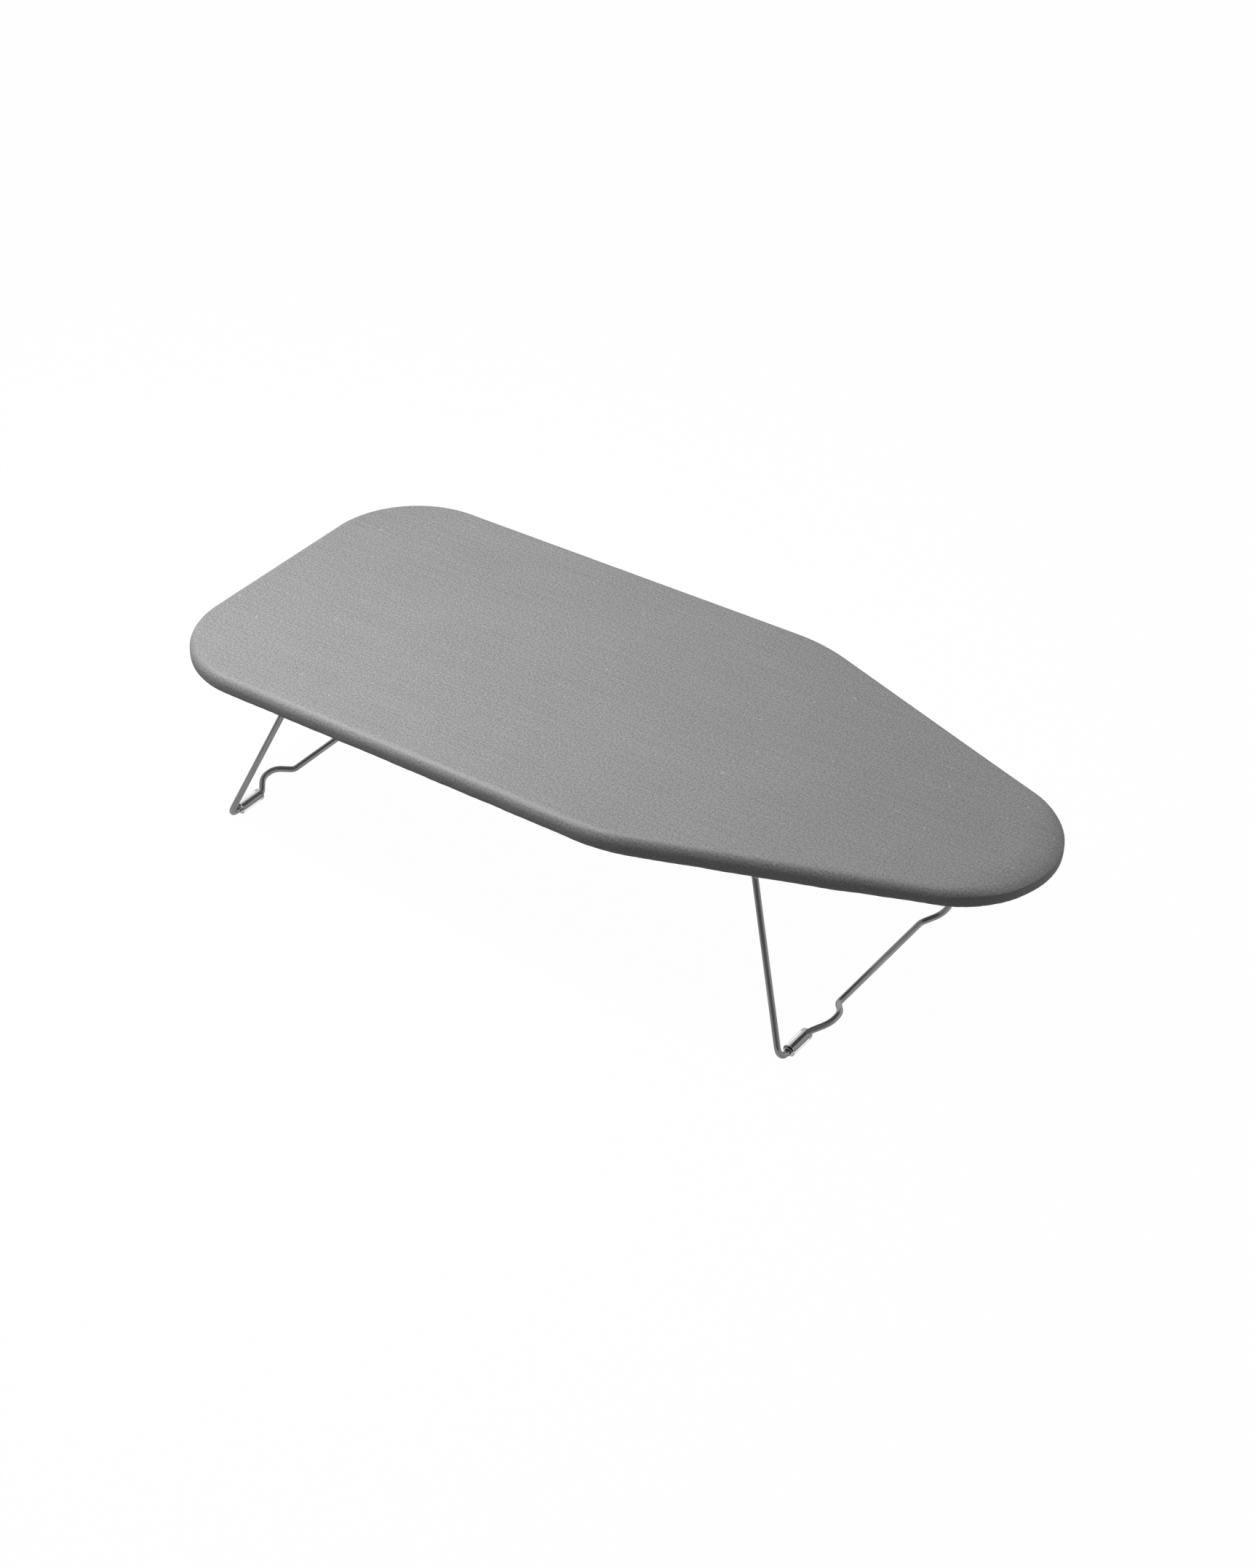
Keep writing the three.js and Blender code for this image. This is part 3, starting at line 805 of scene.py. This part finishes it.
left_moves = [
    run(Y_AXIS * tail_corner.y),
    turn(tail_corner, -Z_AXIS, math.pi / 2, tail_radius),
    run(X_AXIS * (shoulder.x - tail_corner.x)),
    turn(shoulder, -Z_AXIS, math.pi / 2 - taper, shoulder_radius),
    run(nose + taper_facing * nose_radius - shoulder - taper_facing * shoulder_radius),
]
nose_turn = turn(nose, -Z_AXIS, 2 * taper, nose_radius)
lap = left_moves + [nose_turn] + [on_right(move) for move in reversed(left_moves)]
lap_length = sum(move.length for move in lap)


def at_tail(inset, height):
    """The place in the middle of the tail, this far in from the outline."""
    return Vector((inset - half_length, 0, height))


print(f"one lap is {lap_length:.3f} m")

# %% [markdown]
# ## Rim and elastic
# The rim is a tube bent round the outline, and the elastic is a cord in the hem. Both are a ring swept
# once round. They are nearly hidden, but the rim shows between the strands and the hem from below.

# %% Rim and elastic
rim_radius, rim_inset, rim_height = 3.5 * MM, 4.8 * MM, 145.6 * MM
elastic_radius, hem_inset, hem_height = 1.2 * MM, 12.0 * MM, 141.3 * MM
rim_sides, elastic_sides = 20, 12
lap_step = 5 * MM


def tube_round_board(radius, sides, inset, height):
    bm = bmesh.new()
    place = Matrix.Translation(at_tail(inset, height)) @ Matrix.Rotation(math.pi / 2, 4, "X")
    sweep(bm, ring(bm, radius, sides, place), lap, lap_step)
    close_up(bm)
    return bm


bm = tube_round_board(rim_radius, rim_sides, rim_inset, rim_height)
rim = make_piece(bm, "rim_tube", zinc_steel, "board", "frame_steel", "rim_frame")
bm = tube_round_board(elastic_radius, elastic_sides, hem_inset, hem_height)
cord = make_piece(bm, "elastic_cord", braided_elastic, "board", "elastic", "hem_elastic")
print(rim.name, len(rim.data.polygons), "faces,", cord.name, len(cord.data.polygons), "faces")

# %% [markdown]
# ## Mesh panel
# The panel is expanded metal: sheet with rows of slits, pulled open into diamonds. A grid turned by
# half a right angle is a field of diamonds. Those that lie well inside the rim are inset and their
# middles deleted, which leaves the strands. Those at the border stay whole, and their outer corners are
# drawn in to the rim. Opening the slits tilts each strand a little, so the two sides of a diamond
# differ in height.

# %% Inside the outline
probe_step = 0.1 * MM


def clamp(value, low, high):
    return min(max(value, low), high)


def inset_of(place):
    """How far a place is inside the outline; the shoulders count as sharp."""
    out = Vector((place.x, abs(place.y), 0))
    by_tail = min(out.x + half_length, half_width - out.y)
    if out.x < tail_corner.x and out.y > tail_corner.y:
        by_tail = tail_radius - (out - tail_corner).length
    by_taper = nose_radius - (out - nose).dot(taper_facing)
    if (out - nose).y < (out - nose).x * math.tan(taper):
        by_taper = nose_radius - (out - nose).length
    return min(by_tail, by_taper)


def drawn_in(place, inset):
    """The place moved in until it is this far inside the outline."""
    slope = Vector([inset_of(place + probe_step * axis) - inset_of(place - probe_step * axis) for axis in
                    (X_AXIS, Y_AXIS, Z_AXIS)])
    return place + slope.normalized() * (inset - inset_of(place))


print("the middle of the board is", round(inset_of(Vector()) / MM), "mm inside the outline")

# %% Mesh panel
diamond_length, diamond_width, strand_width = 30 * MM, 18 * MM, 2.6 * MM
border_inset = 12 * MM
strand_tilt = 0.2 * MM
strand_bevel, strand_segments = 0.2 * MM, 2
panel_low, panel_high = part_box("mesh_panel")

bm = bmesh.new()
grid_reach = math.ceil(half_length / diamond_width) + 1
bmesh.ops.create_grid(bm, x_segments=2 * grid_reach, y_segments=2 * grid_reach, size=grid_reach)
to_diamonds = Matrix.Diagonal((diamond_length, diamond_width, 1, 1)) @ Matrix.Scale(math.sqrt(0.5), 4)
bmesh.ops.transform(bm, matrix=to_diamonds @ Matrix.Rotation(math.pi / 4, 4, "Z"), verts=bm.verts)
bmesh.ops.translate(bm, verts=bm.verts, vec=(0, 0, panel_high.z))
outside = [face for face in bm.faces if max(inset_of(point.co) for point in face.verts) < rim_inset]
bmesh.ops.delete(bm, geom=outside, context="FACES")
openings = [face for face in bm.faces if min(inset_of(point.co) for point in face.verts) > border_inset]
for point in bm.verts:
    if inset_of(point.co) < rim_inset:
        point.co = drawn_in(point.co, rim_inset)
bmesh.ops.inset_individual(bm, faces=openings, thickness=strand_width / 2, use_even_offset=True)
for face in openings:
    opening_middle = face.calc_center_median()
    for point in face.verts:
        point.co.z += strand_tilt * clamp((point.co.y - opening_middle.y) / strand_width, -1, 1)
bmesh.ops.delete(bm, geom=openings, context="FACES")
panel = make_piece(bm, "expanded_mesh", zinc_steel, "board", "frame_steel", "mesh_panel")
thicken(panel, panel_high.z - panel_low.z)
soft_edges = panel.modifiers.new("soft edges", "BEVEL")
soft_edges.width = strand_bevel
soft_edges.segments = strand_segments
soft_edges.angle_limit = sharp_angle
print(panel.name, "with", len(openings), "diamonds")

# %% [markdown]
# ## Foam pad
# The pad is a plain sheet of foam whose edge is round with the cover's. Its section is a quarter arc,
# swept once round, with a lid above and below. At the tip of the nose the cloth is drawn over the
# tightest bend of the outline and pulls the padded edge down, so both sink there by the same few
# millimetres. A round form that sinks only at one place is easiest to make plain and then move.

# %% Sunken nose
droop_depth, droop_reach = 5.0 * MM, 28 * MM
droop_facing = (0.45, 0.95)
foam_low, foam_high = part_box("foam_pad")


def ease(value, low, high):
    """A smooth step from nought at the low value to one at the high one."""
    share = clamp((value - low) / (high - low), 0, 1)
    return share * share * (3 - 2 * share)


def nose_droop(place):
    """How far the padded edge sinks at the tip of the nose."""
    to_edge = 1 - clamp(inset_of(place) / droop_reach, 0, 1)
    above_panel = max((place.z - foam_low.z) / (board_top - foam_low.z), 0)
    ahead = (place - nose).to_2d().normalized().x
    return droop_depth * ease(ahead, *droop_facing) * to_edge ** 2 * above_panel


print("the edge sinks by up to", droop_depth / MM, "mm")

# %% Foam pad
edge_radius = 8 * MM
foam_step = 1.5 * MM
foam_radius = foam_high.z - (board_top - edge_radius)
foam_start = math.asin((foam_low.z - board_top + edge_radius) / foam_radius)
edge_middle = at_tail(edge_radius, board_top - edge_radius)
foam_rim = Vector((-math.cos(foam_start), 0, math.sin(foam_start))) * foam_radius

bm = bmesh.new()
sweep(bm, [bm.verts.new(edge_middle + foam_rim)],
      [turn(edge_middle, Y_AXIS, math.pi / 2 - foam_start, foam_radius)], foam_step)
sweep(bm, bm.verts[:] + bm.edges[:], lap, lap_step)
close_up(bm)
for point in bm.verts:
    point.co.z -= nose_droop(point.co)
foam = make_piece(bm, "foam_padding", cream_foam, "board", "foam", "foam_pad")
print(foam.name, len(foam.data.polygons), "faces")

# %% [markdown]
# ## Cover
# The cover is cut flat, larger than the board, and its hem is drawn in under the rim by the elastic.
# Its section runs over the round edge, down the side, round the rim and in to the hem, which is rolled
# about the elastic. Swept once round it gives the whole edge of the cover, and a grid closes the top.
# Each point notes where it was on the flat cut. The hem is shorter than the cut edge, so the cloth
# gathers there: the folds are drawn as lobes between creases, because they are smaller than a cloth
# simulation could settle in a short time. Along the tapers, where no bend draws the cloth tight, its
# lip hangs a little lower.

# %% Cover edge
top_inset = 14 * MM
cover_step, cover_lap_step = 1.5 * MM, 5.6 * MM
lap_cuts = 2
wrap_radius = rim_inset
hem_radius, hem_roll = 2.5 * MM, 1.5 * math.pi

bm = bmesh.new()
spread = bm.verts.layers.float.new("spread")
lapped = bm.verts.layers.float.new("lapped")
flat = bm.verts.layers.float_vector.new("flat")
top_edge = at_tail(top_inset, board_top)
rim_middle = at_tail(rim_inset, rim_height)
hem_middle = at_tail(hem_inset, hem_height)
under_rim = rim_middle - Z_AXIS * wrap_radius
under_hem = hem_middle - Z_AXIS * hem_radius
section_moves = [
    run(X_AXIS * (edge_radius - top_inset)),
    turn(edge_middle, -Y_AXIS, math.pi / 2, edge_radius),
    run(Z_AXIS * (rim_height - edge_middle.z)),
    turn(rim_middle, -Y_AXIS, math.pi / 2, wrap_radius),
    run(under_hem - under_rim),
    turn(hem_middle, -Y_AXIS, hem_roll, hem_radius),
]
_, _, side_end, wrap_end, hem_start, cut_edge = accumulate(move.length for move in section_moves)


def note_spread(points, travelled):
    points[0][spread] = travelled


def note_cut(points, travelled):
    inwards_first = sorted(points, key=lambda point: point[spread])
    top = inwards_first[0].co
    outwards = (inwards_first[1].co - top).normalized()
    for point in points:
        point[lapped] = travelled
        point[flat] = (top + outwards * point[spread]).to_2d().to_3d()


sweep(bm, [bm.verts.new(top_edge)], section_moves, cover_step, note_spread)
sweep(bm, bm.verts[:] + bm.edges[:], lap, cover_lap_step, note_cut)
around = [edge for edge in bm.edges if abs(edge.verts[0][spread] - edge.verts[1][spread]) < merge_distance]
bmesh.ops.subdivide_edges(bm, edges=[edge for edge in around if edge.verts[0][spread] > 0], cuts=lap_cuts)
bmesh.ops.recalc_face_normals(bm, faces=bm.faces)
print(len(bm.faces), "faces in the edge, cut", round(cut_edge / MM), "mm wider than the flat top all round")

# %% Gathers
gather_seed = 7
gather_pitch, tight_pitch = (8 * MM, 15 * MM), 0.7
gather_depth, gather_shares, slack_share = 1.1 * MM, (0.4, 1.0), 0.75
lobe_middle, lobe_roundness = 0.45, 0.7
tight_angle = math.pi / 4

draw = random.Random(gather_seed)
tight_bends = []
travelled = 0.0
for move in lap:
    if move.angle > tight_angle:
        tight_bends.append((travelled, travelled + move.length))
    travelled += move.length
creases = [0.0]
depths = []
while creases[-1] < lap_length:
    in_bend = any(first < creases[-1] < last for first, last in tight_bends)
    creases.append(creases[-1] + draw.uniform(*gather_pitch) * (tight_pitch if in_bend else 1))
    depths.append(gather_depth * draw.uniform(*gather_shares) * (1 if in_bend else slack_share))
creases = [crease * lap_length / creases[-1] for crease in creases]


def fold_at(along_lap):
    """How deep the cloth lies between two creases: deepest at each crease, with a round lobe between."""
    fold = min(bisect.bisect_right(creases, along_lap), len(depths)) - 1
    share = (along_lap - creases[fold]) / (creases[fold + 1] - creases[fold])
    return depths[fold] * (lobe_middle - math.sin(math.pi * clamp(share, 0, 1)) ** lobe_roundness)


print(len(depths), "gathers,", len(tight_bends), "tight bends")

# %% Drawn cloth
hem_wander, side_wander = 0.5 * MM, 0.4 * MM
wander_length = 45 * MM
lip_sag = 1.8 * MM
sag_rise, sag_fall = (20 * MM, 100 * MM), (220 * MM, 310 * MM)

bm.normal_update()
for point in bm.verts:
    rolled = ease(point[spread], side_end, hem_start)
    sideways = ease(point[spread], edge_radius, side_end)
    deep = rolled * (fold_at(point[lapped]) + hem_wander * noise.noise(point.co / wander_length))
    deep += sideways * side_wander * (1 + noise.noise(point.co / (0.5 * wander_length)))
    point.co -= point.normal * deep
    point.co.z -= nose_droop(point.co)
    tapered = ease(point.co.x, *sag_rise) * (1 - ease(point.co.x, *sag_fall))
    point.co.z -= lip_sag * tapered * sideways * (1 - ease(point[spread], wrap_end, hem_start))
stitch_ring = min((point[spread] for point in bm.verts), key=lambda value: abs(value - hem_start))
stitch_points = sorted((point for point in bm.verts if abs(point[spread] - stitch_ring) < merge_distance),
                       key=lambda point: point[lapped])
bm.normal_update()
stitch_places = [(point.co.copy(), point.normal.copy()) for point in stitch_points[:-1]]
print(len(stitch_places), "places for the thread")

# %% Top of the cover
top_wander, wander_inset = 0.15 * MM, 3 * top_inset
end_edges = 27
cloth_thickness = 0.6 * MM
cloth_smooth_below = 80


def on_top(edge):
    return all(point[spread] == 0 for point in edge.verts)


bmesh.ops.remove_doubles(bm, verts=bm.verts, dist=merge_distance)
top_ring = [edge for edge in bm.edges if edge.is_boundary and on_top(edge)]
top_ring.sort(key=lambda edge: max(point[lapped] for point in edge.verts))
half_ring = len(top_ring) // 2
long_sides = top_ring[end_edges:half_ring - end_edges] + top_ring[half_ring + end_edges:-end_edges]
bmesh.ops.grid_fill(bm, edges=long_sides)
for point in bm.verts:
    if point[spread] == 0:
        point[flat] = point.co.to_2d().to_3d()
        point.co.z = board_top
        inner = ease(inset_of(point.co), top_inset, wander_inset)
        wander = inner * top_wander * (1 + noise.noise(point.co / (2 * wander_length)))
        point.co.z -= nose_droop(point.co) + wander
bmesh.ops.recalc_face_normals(bm, faces=bm.faces)
cut = bm.copy()
for point in cut.verts:
    point.co = point[cut.verts.layers.float_vector["flat"]]
cut_area = sum(face.calc_area() for face in cut.faces)
cut.free()
cover = make_piece(bm, "cloth_cover", grey_cloth, "board", "cover_cloth", "cover",
                   smooth_below=cloth_smooth_below)
thicken(cover, cloth_thickness)

# %% [markdown]
# ## Stitches
# The hem is closed by a row of stitches: one thread that dips through the cloth every few millimetres.
# Separate stitches would be hundreds of little balls. A curve with a round bevel is simpler. Its points
# lie in turn above the cloth and under it, where the thread is also drawn thin by the needle hole.

# %% Stitches
thread_radius = 0.26 * MM
thread_dip = 0.35 * MM
hole_share = 0.6

thread_line = bpy.data.curves.new("hem_thread", "CURVE")
thread_line.dimensions = "3D"
thread_line.bevel_depth = thread_radius
thread_line.bevel_resolution = 1
thread = thread_line.splines.new("POLY")
thread.use_cyclic_u = True
thread.points.add(len(stitch_places) - 1)
for count, (point, (stitch_place, outwards)) in enumerate(zip(thread.points, stitch_places)):
    in_hole = count % 2
    lift = -thread_dip if in_hole else thread_radius / 2
    point.co = (*(stitch_place + outwards * lift), 1)
    point.radius = hole_share if in_hole else 1
thread_holder = bpy.data.objects.new("hem_thread", thread_line)
bm = bmesh.new()
bm.from_mesh(thread_holder.to_mesh())
stitching = make_piece(bm, "hem_stitching", grey_thread, "board", "cover_cloth")
bpy.data.objects.remove(thread_holder)
print(len(stitch_places) // 2, "stitches")
